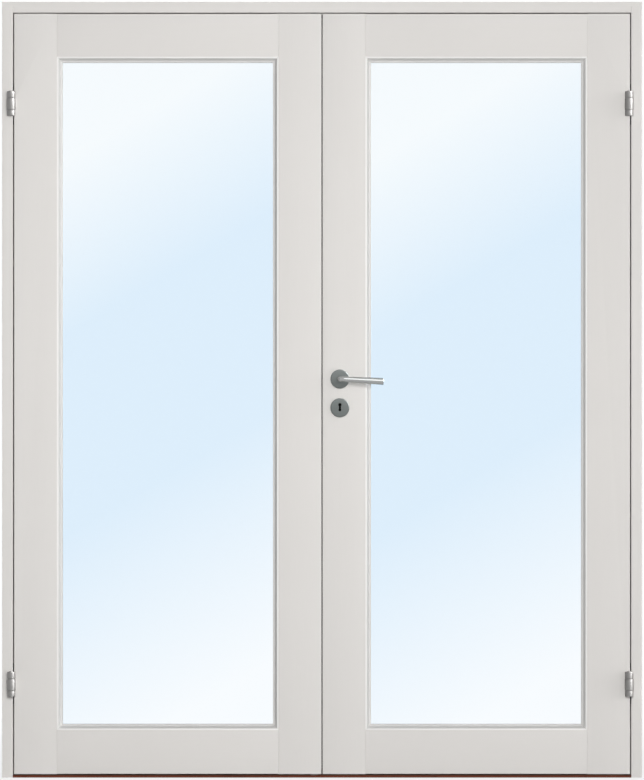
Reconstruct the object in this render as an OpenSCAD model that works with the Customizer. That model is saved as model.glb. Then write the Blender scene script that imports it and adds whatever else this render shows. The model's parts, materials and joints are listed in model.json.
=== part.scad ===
// French doors: two glazed leaves hung in a painted timber frame over a hardwood threshold.
// The front faces -Y, +Z is up, and the origin is the middle of the threshold's underside.
// One leaf is drawn on the right of the centre line, and the other is its mirror image. The hinge barrels
// are of one hand, so on both sides they lie the same way from their gap.

/* [Leaves] */
// Width of one leaf
leaf_w = 825; // [625:5:1025]
// Height of one leaf
leaf_h = 2040; // [1840:10:2240]
// Thickness of a leaf
leaf_t = 40; // [38:1:46]
// Face width of each stile
stile_w = 115; // [100:1:150]
// Face height of the top rail
top_rail_h = 115; // [100:1:160]
// Face height of the bottom rail
bottom_rail_h = 118; // [100:1:220]
// Chamfer on the outer arrises of the wood
arris = 1.5; // [0.5:0.1:2.5]
// Chamfer where stiles and rails meet
joint_v = 0.6; // [0.2:0.1:1]

/* [Gaps] */
// Gap between each leaf and its jamb
side_gap = 3; // [2.4:0.1:4]
// Gap between the two leaves
meeting_gap = 3; // [2.8:0.1:4]
// Gap between the leaves and the head
top_gap = 3; // [2:0.1:5]
// Gap between the leaves and the threshold
bottom_gap = 3.5; // [2:0.1:8]
// Gap between the leaves and the stop behind them
seal_gap = 4; // [3:0.1:6]

/* [Frame] */
// Depth of the frame, front to rear
frame_d = 92; // [88:1:160]
// Thickness of the jambs beside the leaves
jamb_t = 29; // [28:1:45]
// Thickness of the head above the leaves
head_t = 29; // [27:1:45]
// Height of the threshold under the leaves
threshold_h = 6; // [5:0.5:12]
// How far the stop stands in from the rebate
stop_p = 13; // [11:0.5:20]
// Height of the head that runs over the jamb ends
head_cap = 12.6; // [9:0.1:18]
// Chamfer on the outer front arris of the frame
outer_arris = 1.2; // [1:0.1:5]
// Width of the slope at the rear of the threshold
slope_w = 18; // [6:1:26]
// Fall of the slope at the rear of the threshold
slope_h = 7; // [3:0.5:10]
// Radius of the fixing holes through the jambs
fixing_r = 7; // [4:0.5:9]
// Distance of the outer fixing holes from the ends of the jambs
fixing_end = 120; // [90:5:160]
// Distance between the two inner fixing holes
fixing_pitch = 680; // [400:10:900]

/* [Glazing] */
// Thickness of the glass
glass_t = 4; // [3:0.5:8]
// Space between the edge of the glass and the wood
glass_edge_gap = 3; // [2:0.5:5]
// Thickness of the rubber on each side of the glass
rubber_t = 1.5; // [1:0.1:2.5]
// Setback of the rubber behind the nose of the beads
rubber_back = 0.6; // [0.2:0.1:3]
// Flat land at the top of the beads
bead_land = 4.2; // [1:0.1:5]
// Width of the moulded face of the beads, from the land to the nose
bead_face_w = 11; // [10:0.5:14]
// Angle of the steep slope of the beads to the face of the leaf
bead_slope = 65; // [60:1:72]
// Radius of the cove at the foot of the slope
cove_r = 4; // [2:0.5:5]
// Depth of the cove below the land
cove_depth = 13; // [10:0.5:14]
// Depth of the beads below the face of the leaf
bead_set = 0.4; // [0.2:0.1:3]
// Open width of the mitres between beads
mitre_gap = 0.2; // [0.1:0.05:0.5]
// Length of a setting block under the glass
block_len = 80; // [40:5:120]

/* [Dowels] */
// Radius of the corner dowels
dowel_r = 5; // [4:0.5:7]
// Length of the corner dowels
dowel_len = 100; // [60:5:120]
// Distance between the two dowels of a joint
dowel_pitch = 60; // [40:1:70]

/* [Seals] */
// Width of the stem of the frame seals
seal_stem_w = 2.6; // [2:0.1:4]
// Depth of the stem of the frame seals
seal_stem_d = 6; // [4:0.5:9]
// Width of the stem of the meeting seals
meeting_stem_w = 1.8; // [1.2:0.1:2.2]
// Depth of the stem of the meeting seals
meeting_stem_d = 5; // [3:0.5:8]
// Distance of the meeting seals from the rear of the leaf
meeting_seal_in = 6; // [4:0.5:7]

/* [Hinges] */
// Distance of the hinge axis in front of the leaf
hinge_offset = 12.5; // [12.5:0.5:16]
// Distance of the hinge axis to the left of the gap
barrel_lean = 5; // [0:0.1:5.2]
// Radius of the outer knuckles
barrel_r = 11; // [9.6:0.1:11.4]
// How far the middle knuckle stands out past the outer ones
mid_swell = 0.6; // [0.2:0.1:0.9]
// Rounding of the rims of the knuckles
knuckle_round = 1; // [0.4:0.1:2]
// Height of the barrel
barrel_h = 66; // [56:1:86]
// Height of the middle knuckle
mid_knuckle_h = 31.4; // [24:0.1:40]
// Distance of the middle knuckle below the middle of the barrel
mid_drop = 1.5; // [0:0.1:4]
// Radius of the hinge pin
pin_r = 3.5; // [2.5:0.1:4]
// Radius of the pin's head
pin_head_r = 6.5; // [5:0.1:7]
// Height of the pin's head
pin_head_h = 1.4; // [1:0.1:3]
// Height of the plates
plate_h = 110; // [100:1:140]
// Depth of the plates into the leaf
plate_d = 25; // [22:0.5:30]
// Thickness of the plates
plate_t = 2.5; // [2:0.1:3]
// Setback of the plates from the face of the leaf
plate_in = 3; // [1:0.1:6]
// Corner radius of the plates
plate_r = 6; // [2:0.5:9]
// Distance of the hinge centres from the ends of the leaf
hinge_end = 242; // [150:1:400]

/* [Screws] */
// Radius of a screw's shank
screw_r = 2.2; // [1.6:0.1:2.6]
// Radius of a screw's countersunk head
screw_head_r = 4.3; // [3.4:0.1:4.8]
// Height of a screw's countersunk head
screw_head_h = 2; // [1.6:0.1:2.4]
// Length of the plate screws
screw_len = 25; // [16:1:26]
// Length of the frame's corner screws
corner_screw_len = 70; // [50:5:85]

/* [Lock] */
// Distance of the lever's axis from the edge of the leaf
backset = 46.5; // [42:0.5:56]
// Height of the lever's axis above the foot of the leaf
lever_height = 1060; // [950:5:1120]
// Distance of the keyhole below the lever's axis
key_drop = 77; // [70:1:95]
// Width of the forend and of the strike plate
forend_w = 20; // [18:1:22]
// Height of the forend and of the strike plate
forend_h = 225; // [210:1:260]
// Thickness of the forend and of the strike plate
forend_t = 3; // [2:0.1:4]
// Thickness of the lock case
case_t = 14; // [13:0.5:18]
// Depth of the lock case behind the forend
case_d = 68; // [66:1:80]
// Height of the lock case above the lever and below the keyhole
case_over = 38; // [32:1:48]
// Wall of the lock case
case_wall = 1.5; // [1:0.1:2]
// Radius of the follower that the spindle turns
follower_r = 9; // [8:0.1:10]
// Height of the latch bolt
latch_h = 30; // [20:1:36]
// Height of the dead bolt
dead_h = 26; // [20:1:34]
// Length of both bolts
bolt_len = 34; // [26:1:36]
// Height of the keyhole's round top above the middle of the escutcheon
key_rise = 8; // [4:0.5:10]
// Radius of the keyhole's round top
key_r = 4.3; // [3.9:0.1:5]
// Width of the keyhole's slot
key_slot_w = 5.6; // [4.6:0.1:6]
// Radius of the keyhole's round foot
key_foot_r = 3.8; // [3.1:0.1:4.2]
// Depth of the keyhole's round foot below its round top
key_slot_h = 14; // [10:0.5:16]
// Thickness of the tumbler plate in the lock case
tumbler_t = 2; // [1:0.1:3]
// Reach of the tumbler plate past the keyhole
tumbler_over = 6; // [3:0.5:9]
// Depth of the pockets behind the strike plate
strike_depth = 18; // [16:1:24]

/* [Handle] */
// Radius of the roses and escutcheons
rose_r = 25.5; // [20:0.5:27]
// Thickness of the roses and escutcheons
rose_t = 8; // [5:0.5:12]
// Rounding of the rim of the roses and escutcheons
rose_round = 2.4; // [1:0.1:4]
// Radius of the lever's neck
neck_r = 7.25; // [6.8:0.05:9]
// Length of the neck inside the stile
neck_in = 2; // [1:0.5:6]
// Radius of the lever at its tip
tip_r = 9.5; // [7:0.1:11]
// Length of the lever from its axis to its tip
lever_len = 117; // [90:1:135]
// Distance of the lever's bar in front of the leaf
lever_reach = 48; // [42:1:60]
// Radius of the lever's bend
bend_r = 15; // [12:0.5:18]
// Fall of the lever below level, in degrees
droop = 3.2; // [0:0.1:6]
// Length of the cap at the lever's tip
tip_cap = 3; // [2:0.1:6]
// Width of the groove behind the tip cap
tip_groove_w = 0.8; // [0.4:0.1:2]
// Depth of the groove behind the tip cap
tip_groove_d = 0.7; // [0.3:0.1:1.5]
// Width across the square spindle
spindle_w = 8; // [7:0.1:8]
// Depth of the spindle in each lever's neck
spindle_grip = 22; // [12:1:30]
// Radius of the hole for the spindle in the stile
spindle_hole_r = 11; // [10:0.5:12]

/* [Flush bolts] */
// Radius of the bolt rods
rod_r = 4; // [3:0.1:4.5]
// Travel of the upper bolt
upper_travel = 18; // [12:0.5:18]
// Height of the lower bolt above the floor when it is shot
rod_floor_gap = 1; // [0.5:0.1:2]
// Width of the case's face plate
bolt_plate_w = 18; // [16:0.5:20]
// Height of the case's face plate
bolt_plate_h = 150; // [130:1:200]
// Thickness of the case's face plate
bolt_plate_t = 2.5; // [2:0.1:3.5]
// Distance of the bolt rods from the edge of the leaf
rod_back = 19; // [17.5:0.5:20]
// Length of the screws in the case's face plate
bolt_screw_len = 12; // [9:0.5:12]
// Depth of the case behind its face plate
bolt_case_d = 26; // [25:0.5:32]
// Width of the case behind its face plate
bolt_case_w = 13; // [12.5:0.5:15]
// Height of the case behind its face plate
bolt_case_h = 110; // [90:1:120]
// Wall of the case
bolt_case_wall = 1.2; // [1:0.1:1.5]
// Distance of the face plate from the end of the leaf
bolt_plate_end = 40; // [25:1:80]
// Height of the slider on the rod
slider_h = 26; // [22:1:30]
// Width of the thumb piece
thumb_w = 6; // [4:0.5:8]
// Height of the thumb piece
thumb_h = 12; // [8:0.5:16]
// Radius of the keepers' flange
keeper_flange_r = 11; // [9:0.5:13]
// Thickness of the keepers' flange
keeper_flange_t = 2; // [1.5:0.1:2.5]
// Wall of the keepers' sleeve
keeper_wall = 1.6; // [1:0.1:2.5]

/* [Clearances] */
// Running clearance round pins, necks and the follower
run_fit = 0.05; // [0.03:0.01:0.09]
// Clearance of pins and screws in the pieces that hold them
hold_fit = 0.02; // [0.01:0.01:0.05]
// Clearance round the plates, cases and dowels let into the wood
wood_fit = 0.2; // [0.1:0.05:0.4]
// Gap between neighbouring knuckles
knuckle_gap = 0.4; // [0.3:0.05:0.6]
// Clearance round sliding bolts
slide_fit = 0.3; // [0.2:0.05:0.5]
// Clearance round bolts that enter the other side
enter_fit = 0.8; // [0.5:0.1:1.5]
// Clearance between the seals and what they close on
seal_fit = 0.3; // [0.2:0.05:0.5]
// How far bolts at rest lie below the face they come out of
bolt_rest = 0.3; // [0.2:0.1:0.6]

/* [Hidden] */
$fn = 64;

// Overshoot of cuts past a face
cut = 1;
// Straight pieces in a quarter of a drawn arc
arc_steps = 6;

// Planes across the depth
front_y = -frame_d / 2;
rear_y = frame_d / 2;
leaf_rear_y = front_y + leaf_t;
leaf_mid_y = front_y + leaf_t / 2;
stop_y = leaf_rear_y + seal_gap;

// Planes across the width, on the right of the centre line
meeting_x = meeting_gap / 2;
hinge_edge_x = meeting_x + leaf_w;
rebate_x = hinge_edge_x + side_gap;
half_w = rebate_x + jamb_t;
stop_x = rebate_x - stop_p;
hinge_x = hinge_edge_x + side_gap / 2;
meeting_joint_x = meeting_x + stile_w;
hinge_joint_x = hinge_edge_x - stile_w;
opening_w = hinge_joint_x - meeting_joint_x;

// Planes up the height
leaf_foot_z = threshold_h + bottom_gap;
leaf_top_z = leaf_foot_z + leaf_h;
head_under_z = leaf_top_z + top_gap;
frame_h = head_under_z + head_t;
jamb_h = frame_h - head_cap;
opening_foot_z = leaf_foot_z + bottom_rail_h;
opening_top_z = leaf_top_z - top_rail_h;
opening_h = opening_top_z - opening_foot_z;
lever_z = leaf_foot_z + lever_height;
key_z = lever_z - key_drop;
lock_mid_z = (lever_z + key_z) / 2;
lever_x = meeting_x + backset;
hinge_zs = [leaf_top_z - hinge_end, leaf_foot_z + hinge_end];
frame_mid_z = frame_h / 2;
fixing_zs = [
    fixing_end, frame_mid_z - fixing_pitch / 2, frame_mid_z + fixing_pitch / 2, frame_h - fixing_end
];

// Glazing
glass_front_y = leaf_mid_y - glass_t / 2;
bead_h = (leaf_t - glass_t) / 2 - rubber_t - bead_set;
bead_w = bead_land + bead_face_w;
cove_start_d = cove_depth - cove_r * (1 - cos(bead_slope));
cove_start_w = bead_land + cove_start_d / tan(bead_slope);
cove_mid_w = cove_start_w + cove_r * sin(bead_slope);
past_nose_w = max(cove_mid_w, bead_w) + cut;
rubber_ring_w = bead_w - rubber_back - glass_edge_gap;

// Seals
seal_r = seal_gap - seal_fit;
seal_x = rebate_x - stop_p / 2;
head_seal_z = head_under_z - stop_p / 2;
threshold_seal_z = threshold_h + stop_p / 2;
jamb_seal_foot_z = threshold_seal_z + seal_r + seal_fit;
jamb_seal_top_z = head_seal_z - seal_r - seal_fit;
meeting_seal_r = (meeting_gap - seal_fit) / 2;
meeting_seal_y = leaf_rear_y - meeting_seal_in;

// Hinges: each knuckle has its foot and its height
mid_foot_z = -mid_knuckle_h / 2 - mid_drop;
mid_top_z = mid_foot_z + mid_knuckle_h;
leaf_knuckles = [[mid_foot_z, mid_knuckle_h]];
frame_knuckles = [
    [-barrel_h / 2, mid_foot_z - knuckle_gap + barrel_h / 2],
    [mid_top_z + knuckle_gap, barrel_h / 2 - mid_top_z - knuckle_gap]
];
plate_front = hinge_offset + plate_in;
plate_back = plate_front + plate_d;
screw_row_in = plate_d / 3;
screw_row_pitch = plate_h / 4;

// Lock
forend_x = meeting_x + forend_t;
key_top_z = key_z + key_rise + key_r;
key_foot_z = key_z + key_rise - key_slot_h - key_foot_r;
case_foot_z = key_z - case_over;
case_top_z = lever_z + case_over;
bolt_t = case_t - 2 * case_wall - 2 * slide_fit;
bolt_x = meeting_x + bolt_rest;
forend_screw_z = forend_h / 2 - forend_w / 2;
latch_chamfer = bolt_t / 4;

// Flush bolts
lower_travel = leaf_foot_z - rod_floor_gap;
head_keeper_len = upper_travel - top_gap + enter_fit;
bolt_case_x = meeting_x + bolt_plate_t;
rod_x = meeting_x + rod_back;
rod_bore_r = rod_r + run_fit;
keeper_bore_r = rod_r + enter_fit;
keeper_r = keeper_bore_r + keeper_wall;
slider_t = bolt_case_d - bolt_case_wall - 2 * slide_fit;
slider_w = bolt_case_w - 2 * bolt_case_wall - 2 * slide_fit;
bolt_plate_mid = bolt_plate_end + bolt_plate_h / 2;
bolt_screw_z = bolt_plate_h / 2 - bolt_plate_w / 2;
thumb_x = meeting_x + bolt_rest;

// Colours
paint = [0.87, 0.86, 0.85];
hardwood = [0.42, 0.24, 0.18];
steel = [0.66, 0.67, 0.66];
satin = [0.44, 0.47, 0.46];
black_rubber = [0.08, 0.08, 0.08];
beech = [0.76, 0.6, 0.42];
pane = [0.87, 0.94, 0.99, 0.35];

function arc(cx, cy, r, from, to) = [
    for (i = [0 : arc_steps])
        let (a = from + (to - from) * i / arc_steps)
            [cx + r * cos(a), cy + r * sin(a)]
];

// Outline of a bar with one chamfer on the corners at x = 0 and another on the corners at x = w
function bar_outline(w, d, c0, c1) = [
    [c0, 0], [w - c1, 0], [w, c1], [w, d - c1], [w - c1, d], [c0, d], [0, d - c0], [0, c0]
];

// Outline of a frame member: s runs inwards from the outer face, y from front to rear
function member_outline(t, outer, rear_w, rear_h) = [
    [outer, front_y], [t - arris, front_y], [t, front_y + arris], [t, stop_y],
    [t + stop_p - arris, stop_y], [t + stop_p, stop_y + arris],
    [t + stop_p, rear_y - rear_w], [t + stop_p - rear_h, rear_y],
    [0, rear_y], [0, front_y + outer]
];

// Outline of a plate with half-round ends, standing along y
function pill_outline(w, h) = concat(
    arc(0, h / 2 - w / 2, w / 2, 0, 90), arc(0, h / 2 - w / 2, w / 2, 90, 180),
    arc(0, w / 2 - h / 2, w / 2, 180, 270), arc(0, w / 2 - h / 2, w / 2, 270, 360)
);

// Outline of a hinge plate, with its rear corners rounded
function plate_outline(fit) = concat(
    [[plate_front - fit, -plate_h / 2 - fit]],
    arc(plate_back - plate_r, plate_r - plate_h / 2, plate_r + fit, -90, 0),
    arc(plate_back - plate_r, plate_h / 2 - plate_r, plate_r + fit, 0, 90),
    [[plate_front - fit, plate_h / 2 + fit]]
);

// Stands the mirror image of its children on the left
module on_left() {
    mirror([1, 0, 0]) children();
}

// Extrudes an outline of [y, z] points along x
module along_x(len) {
    rotate([90, 0, 90]) linear_extrude(len) children();
}

// Box from its low corner to its high corner
module box(low, high) {
    translate(low) cube(high - low);
}

// Countersunk screw along -x with its head at the origin
module screw(len, fit) {
    rotate([0, -90, 0]) rotate_extrude() polygon([
        [0, 0], [screw_head_r + fit, 0], [screw_r + fit, screw_head_h],
        [screw_r + fit, len + fit], [0, len + fit]
    ]);
}

// Frame members

module jamb_bar() {
    translate([half_w, 0, 0]) mirror([1, 0, 0])
        linear_extrude(jamb_h) polygon(member_outline(jamb_t, outer_arris, arris, arris));
}

// Room that the right jamb takes out of the head and the threshold
module jamb_room() {
    box([rebate_x, front_y - cut, -cut], [half_w + cut, stop_y, jamb_h]);
    box([stop_x, stop_y, -cut], [half_w + cut, rear_y + cut, jamb_h]);
}

module fixing_holes() {
    for (z = fixing_zs)
        translate([rebate_x - cut, (front_y + stop_y) / 2, z])
            rotate([0, 90, 0]) cylinder(r = fixing_r, h = jamb_t + 2 * cut);
}

module jamb() {
    color(paint) difference() {
        jamb_bar();
        fixing_holes();
        jamb_seal_run() seal_stem(seal_stem_w, seal_stem_d);
        at_hinges() frame_plate_cut();
        at_hinges() frame_plate_screws(hold_fit);
        corner_screws(hold_fit);
    }
}

module right_jamb() {
    jamb();
}

module left_jamb() {
    on_left() jamb();
}

module frame_head() {
    color(paint) difference() {
        translate([-half_w, 0, frame_h]) mirror([0, 0, 1]) along_x(2 * half_w)
            mirror([1, -1]) polygon(member_outline(head_t, outer_arris, arris, arris));
        jamb_room();
        on_left() jamb_room();
        cross_seal_stem(head_seal_z);
        corner_screws(hold_fit);
        on_left() corner_screws(hold_fit);
        at_head_keeper() keeper_body(head_keeper_len, 0, wood_fit);
    }
}

module threshold() {
    color(hardwood) difference() {
        translate([-half_w, 0, 0]) along_x(2 * half_w)
            mirror([1, -1]) polygon(member_outline(threshold_h, 0, slope_w, slope_h));
        jamb_room();
        on_left() jamb_room();
        cross_seal_stem(threshold_seal_z);
        at_threshold_keeper() keeper_body(threshold_h + cut, 0, wood_fit);
    }
}

// Corner screws of the right jamb, driven down through the head
module corner_screws(fit) {
    for (y = [(front_y + stop_y) / 2, (stop_y + rear_y) / 2])
        translate([half_w - jamb_t / 2, y, frame_h]) rotate([0, -90, 0]) screw(corner_screw_len, fit);
}

module frame_screws() {
    color(steel) {
        corner_screws(0);
        on_left() corner_screws(0);
        at_hinges() frame_plate_screws(0);
        on_left() at_hinges() frame_plate_screws(0);
    }
}

// Seals

// Half-round bulb of a seal, towards -y
module seal_bulb(r) {
    intersection() {
        circle(r);
        translate([-r, -r]) square([2 * r, r]);
    }
}

// Stem of a seal, towards +y
module seal_stem(w, d) {
    translate([-w / 2, 0]) square([w, d]);
}

// Seal across the frame: its stem ends at the stops of the jambs
module cross_seal(z) {
    color(black_rubber) {
        translate([-seal_x - seal_r, stop_y, z])
            along_x(2 * (seal_x + seal_r)) mirror([1, -1]) seal_bulb(seal_r);
        cross_seal_stem(z);
    }
}

module cross_seal_stem(z) {
    translate([-stop_x, stop_y, z]) along_x(2 * stop_x) mirror([1, -1]) seal_stem(seal_stem_w, seal_stem_d);
}

module head_seal() {
    cross_seal(head_seal_z);
}

module threshold_seal() {
    cross_seal(threshold_seal_z);
}

module jamb_seal_run() {
    translate([seal_x, stop_y, jamb_seal_foot_z])
        linear_extrude(jamb_seal_top_z - jamb_seal_foot_z) children();
}

module right_jamb_seal() {
    color(black_rubber) jamb_seal_run() {
        seal_bulb(seal_r);
        seal_stem(seal_stem_w, seal_stem_d);
    }
}

module left_jamb_seal() {
    on_left() right_jamb_seal();
}

module right_meeting_seal() {
    color(black_rubber) translate([meeting_x, meeting_seal_y, leaf_foot_z])
        linear_extrude(leaf_h) rotate(-90) {
            seal_bulb(meeting_seal_r);
            seal_stem(meeting_stem_w, meeting_stem_d);
        }
}

module left_meeting_seal() {
    on_left() right_meeting_seal();
}

// Leaf timber

module stile_bar() {
    linear_extrude(leaf_h) polygon(bar_outline(stile_w, leaf_t, arris, joint_v));
}

// Rail with its outer edge at z = 0
module rail_bar(h) {
    intersection() {
        along_x(opening_w) mirror([1, -1]) polygon(bar_outline(h, leaf_t, arris, joint_v));
        linear_extrude(h) polygon(bar_outline(opening_w, leaf_t, joint_v, joint_v));
    }
}

// Dowels across the four corner joints of a leaf
module dowel_set(r, len) {
    for (x = [meeting_joint_x, hinge_joint_x])
        for (z = [opening_top_z + top_rail_h / 2, opening_foot_z - bottom_rail_h / 2])
            for (side = [-1, 1])
                translate([x - len / 2, leaf_mid_y, z + side * dowel_pitch / 2])
                    rotate([0, 90, 0]) cylinder(r = r, h = len);
}

module dowel_holes() {
    dowel_set(dowel_r + wood_fit, dowel_len + 2 * cut);
}

module right_dowels() {
    color(beech) dowel_set(dowel_r, dowel_len);
}

module left_dowels() {
    on_left() right_dowels();
}

module right_hinge_stile() {
    color(paint) difference() {
        translate([hinge_edge_x, front_y, leaf_foot_z]) mirror([1, 0, 0]) stile_bar();
        dowel_holes();
        at_hinges() leaf_plate_cut();
        at_hinges() leaf_plate_screws(hold_fit);
    }
}

module left_hinge_stile() {
    on_left() right_hinge_stile();
}

// Meeting stile before the hardware is let in
module meeting_stile_blank() {
    difference() {
        translate([meeting_x, front_y, leaf_foot_z]) stile_bar();
        dowel_holes();
        translate([meeting_x, meeting_seal_y, leaf_foot_z])
            linear_extrude(leaf_h) rotate(-90) seal_stem(meeting_stem_w, meeting_stem_d);
    }
}

module right_meeting_stile() {
    color(paint) difference() {
        meeting_stile_blank();
        forend_plate(wood_fit, cut);
        box([meeting_x, leaf_mid_y - case_t / 2 - wood_fit, case_foot_z - wood_fit],
            [forend_x + case_d + wood_fit, leaf_mid_y + case_t / 2 + wood_fit, case_top_z + wood_fit]);
        translate([lever_x, front_y - cut, lever_z])
            rotate([-90, 0, 0]) cylinder(r = spindle_hole_r, h = leaf_t + 2 * cut);
        keyhole(front_y - cut, leaf_t + 2 * cut, enter_fit);
        forend_screws(hold_fit);
    }
}

module left_meeting_stile() {
    color(paint) on_left() difference() {
        meeting_stile_blank();
        forend_plate(wood_fit, cut);
        strike_pockets(forend_t + strike_depth);
        forend_screws(hold_fit);
        at_upper_bolt() flush_bolt_room();
        at_lower_bolt() flush_bolt_room();
    }
}

module right_bottom_rail() {
    color(paint) difference() {
        translate([meeting_joint_x, front_y, leaf_foot_z]) rail_bar(bottom_rail_h);
        dowel_holes();
    }
}

module right_top_rail() {
    color(paint) difference() {
        translate([meeting_joint_x, front_y, leaf_top_z]) mirror([0, 0, 1]) rail_bar(top_rail_h);
        dowel_holes();
    }
}

module left_bottom_rail() {
    on_left() right_bottom_rail();
}

module left_top_rail() {
    on_left() right_top_rail();
}

// Glazing

module right_glass() {
    color(pane) box(
        [meeting_joint_x + glass_edge_gap, glass_front_y, opening_foot_z + glass_edge_gap],
        [hinge_joint_x - glass_edge_gap, glass_front_y + glass_t, opening_top_z - glass_edge_gap]);
}

module left_glass() {
    on_left() right_glass();
}

// Flat rubber ring along the edge of the glass
module rubber_ring() {
    in = glass_edge_gap + rubber_ring_w;
    difference() {
        box([meeting_joint_x + glass_edge_gap, 0, opening_foot_z + glass_edge_gap],
            [hinge_joint_x - glass_edge_gap, rubber_t, opening_top_z - glass_edge_gap]);
        box([meeting_joint_x + in, -cut, opening_foot_z + in],
            [hinge_joint_x - in, rubber_t + cut, opening_top_z - in]);
    }
}

module right_glazing_rubber() {
    color(black_rubber) {
        translate([0, glass_front_y - rubber_t, 0]) rubber_ring();
        translate([0, glass_front_y + glass_t, 0]) rubber_ring();
        for (x = [meeting_joint_x + opening_w / 4, hinge_joint_x - opening_w / 4])
            box([x - block_len / 2, glass_front_y, opening_foot_z],
                [x + block_len / 2, glass_front_y + glass_t, opening_foot_z + glass_edge_gap]);
    }
}

module left_glazing_rubber() {
    on_left() right_glazing_rubber();
}

// Bead along x with a steep slope, a cove at its foot and mitred ends: back on z = 0, top on y = 0
module bead(len) {
    intersection() {
        along_x(len) difference() {
            square([bead_h, bead_w]);
            polygon([
                [0, bead_land], [cove_start_d, cove_start_w], [cove_depth, cove_mid_w],
                [cove_depth, past_nose_w], [-cut, past_nose_w], [-cut, bead_land]
            ]);
            translate([cove_depth - cove_r, cove_mid_w]) circle(cove_r);
        }
        rotate([90, 0, 0]) translate([0, 0, -bead_h]) linear_extrude(bead_h)
            translate([mitre_gap, 0]) polygon([
                [0, 0], [len - 2 * mitre_gap, 0], [len - 2 * mitre_gap - bead_w, bead_w], [bead_w, bead_w]
            ]);
    }
}

// The four beads of one side of a leaf, with their tops on y = 0
module bead_set_of_four() {
    translate([meeting_joint_x, 0, opening_foot_z]) bead(opening_w);
    translate([meeting_joint_x, 0, opening_top_z]) mirror([0, 0, 1]) bead(opening_w);
    translate([meeting_joint_x, 0, opening_foot_z]) mirror([1, 0, -1]) bead(opening_h);
    translate([hinge_joint_x, 0, opening_foot_z]) mirror([1, 0, 0]) mirror([1, 0, -1]) bead(opening_h);
}

module right_front_beads() {
    color(paint) translate([0, front_y + bead_set, 0]) bead_set_of_four();
}

module right_rear_beads() {
    color(paint) translate([0, leaf_rear_y - bead_set, 0]) mirror([0, 1, 0]) bead_set_of_four();
}

module left_front_beads() {
    on_left() right_front_beads();
}

module left_rear_beads() {
    on_left() right_rear_beads();
}

// Hinges of the right leaf: the gap is at x = 0, the jamb towards +x, the leaf towards -x, the axis at lean

module at_hinge(i) {
    translate([hinge_x, front_y - hinge_offset, hinge_zs[i]]) children();
}

module at_hinges() {
    for (i = [0, 1]) at_hinge(i) children();
}

// Knuckle with rounded rims
module knuckle(foot, h, r) {
    translate([0, 0, foot]) rotate_extrude() polygon(concat(
        [[0, 0]],
        arc(r - knuckle_round, knuckle_round, knuckle_round, -90, 0),
        arc(r - knuckle_round, h - knuckle_round, knuckle_round, 0, 90),
        [[0, h]]
    ));
}

module pin_bore(fit) {
    translate([0, 0, -barrel_h / 2 - cut]) cylinder(r = pin_r + fit, h = barrel_h + 2 * cut);
}

// Plate with a neck to each knuckle, lying from x = 0 to its thickness
module hinge_plate(knuckles, fit, room) {
    along_x(plate_t + room) {
        polygon(plate_outline(fit));
        for (k = knuckles)
            translate([0, k[0] + knuckle_round - fit])
                square([plate_front, k[1] - 2 * knuckle_round + 2 * fit]);
    }
}

module leaf_plate(fit, room) {
    translate([-side_gap / 2 - plate_t, 0, 0]) hinge_plate(leaf_knuckles, fit, room);
}

module frame_plate(fit, room) {
    translate([side_gap / 2 - room, 0, 0]) hinge_plate(frame_knuckles, fit, room);
}

module leaf_plate_cut() {
    leaf_plate(wood_fit, side_gap / 2);
}

module frame_plate_cut() {
    frame_plate(wood_fit, side_gap / 2);
}

// Places of the screws in a plate, in two staggered rows
module at_plate_screws() {
    for (i = [0 : 3])
        translate([0, plate_front + screw_row_in * (1 + i % 2), (i - 1.5) * screw_row_pitch]) children();
}

module leaf_plate_screws(fit) {
    translate([-side_gap / 2, 0, 0]) at_plate_screws() screw(screw_len, fit);
}

module frame_plate_screws(fit) {
    translate([side_gap / 2, 0, 0]) at_plate_screws() mirror([1, 0, 0]) screw(screw_len, fit);
}

module leaf_hinge(lean) {
    color(steel) difference() {
        union() {
            for (k = leaf_knuckles)
                translate([lean, 0, 0]) knuckle(k[0], k[1], barrel_r + mid_swell);
            leaf_plate(0, 0);
        }
        translate([lean, 0, 0]) pin_bore(run_fit);
        leaf_plate_screws(hold_fit);
    }
}

module frame_hinge(lean) {
    color(steel) difference() {
        union() {
            for (k = frame_knuckles)
                translate([lean, 0, 0]) knuckle(k[0], k[1], barrel_r);
            frame_plate(0, 0);
        }
        translate([lean, 0, 0]) pin_bore(hold_fit);
        frame_plate_screws(hold_fit);
    }
}

module hinge_pin(lean) {
    color(steel) translate([lean, 0, 0]) rotate_extrude() polygon([
        [0, -barrel_h / 2], [pin_r, -barrel_h / 2], [pin_r, barrel_h / 2],
        [pin_head_r, barrel_h / 2], [pin_head_r, barrel_h / 2 + pin_head_h / 2],
        [pin_head_r - pin_head_h / 2, barrel_h / 2 + pin_head_h], [0, barrel_h / 2 + pin_head_h]
    ]);
}

module right_upper_leaf_hinge() {
    at_hinge(0) leaf_hinge(-barrel_lean);
}

module right_lower_leaf_hinge() {
    at_hinge(1) leaf_hinge(-barrel_lean);
}

module left_upper_leaf_hinge() {
    on_left() at_hinge(0) leaf_hinge(barrel_lean);
}

module left_lower_leaf_hinge() {
    on_left() at_hinge(1) leaf_hinge(barrel_lean);
}

module right_upper_frame_hinge() {
    at_hinge(0) frame_hinge(-barrel_lean);
}

module right_lower_frame_hinge() {
    at_hinge(1) frame_hinge(-barrel_lean);
}

module left_upper_frame_hinge() {
    on_left() at_hinge(0) frame_hinge(barrel_lean);
}

module left_lower_frame_hinge() {
    on_left() at_hinge(1) frame_hinge(barrel_lean);
}

module right_hinge_pins() {
    at_hinges() hinge_pin(-barrel_lean);
}

module left_hinge_pins() {
    on_left() at_hinges() hinge_pin(barrel_lean);
}

// Lock

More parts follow.
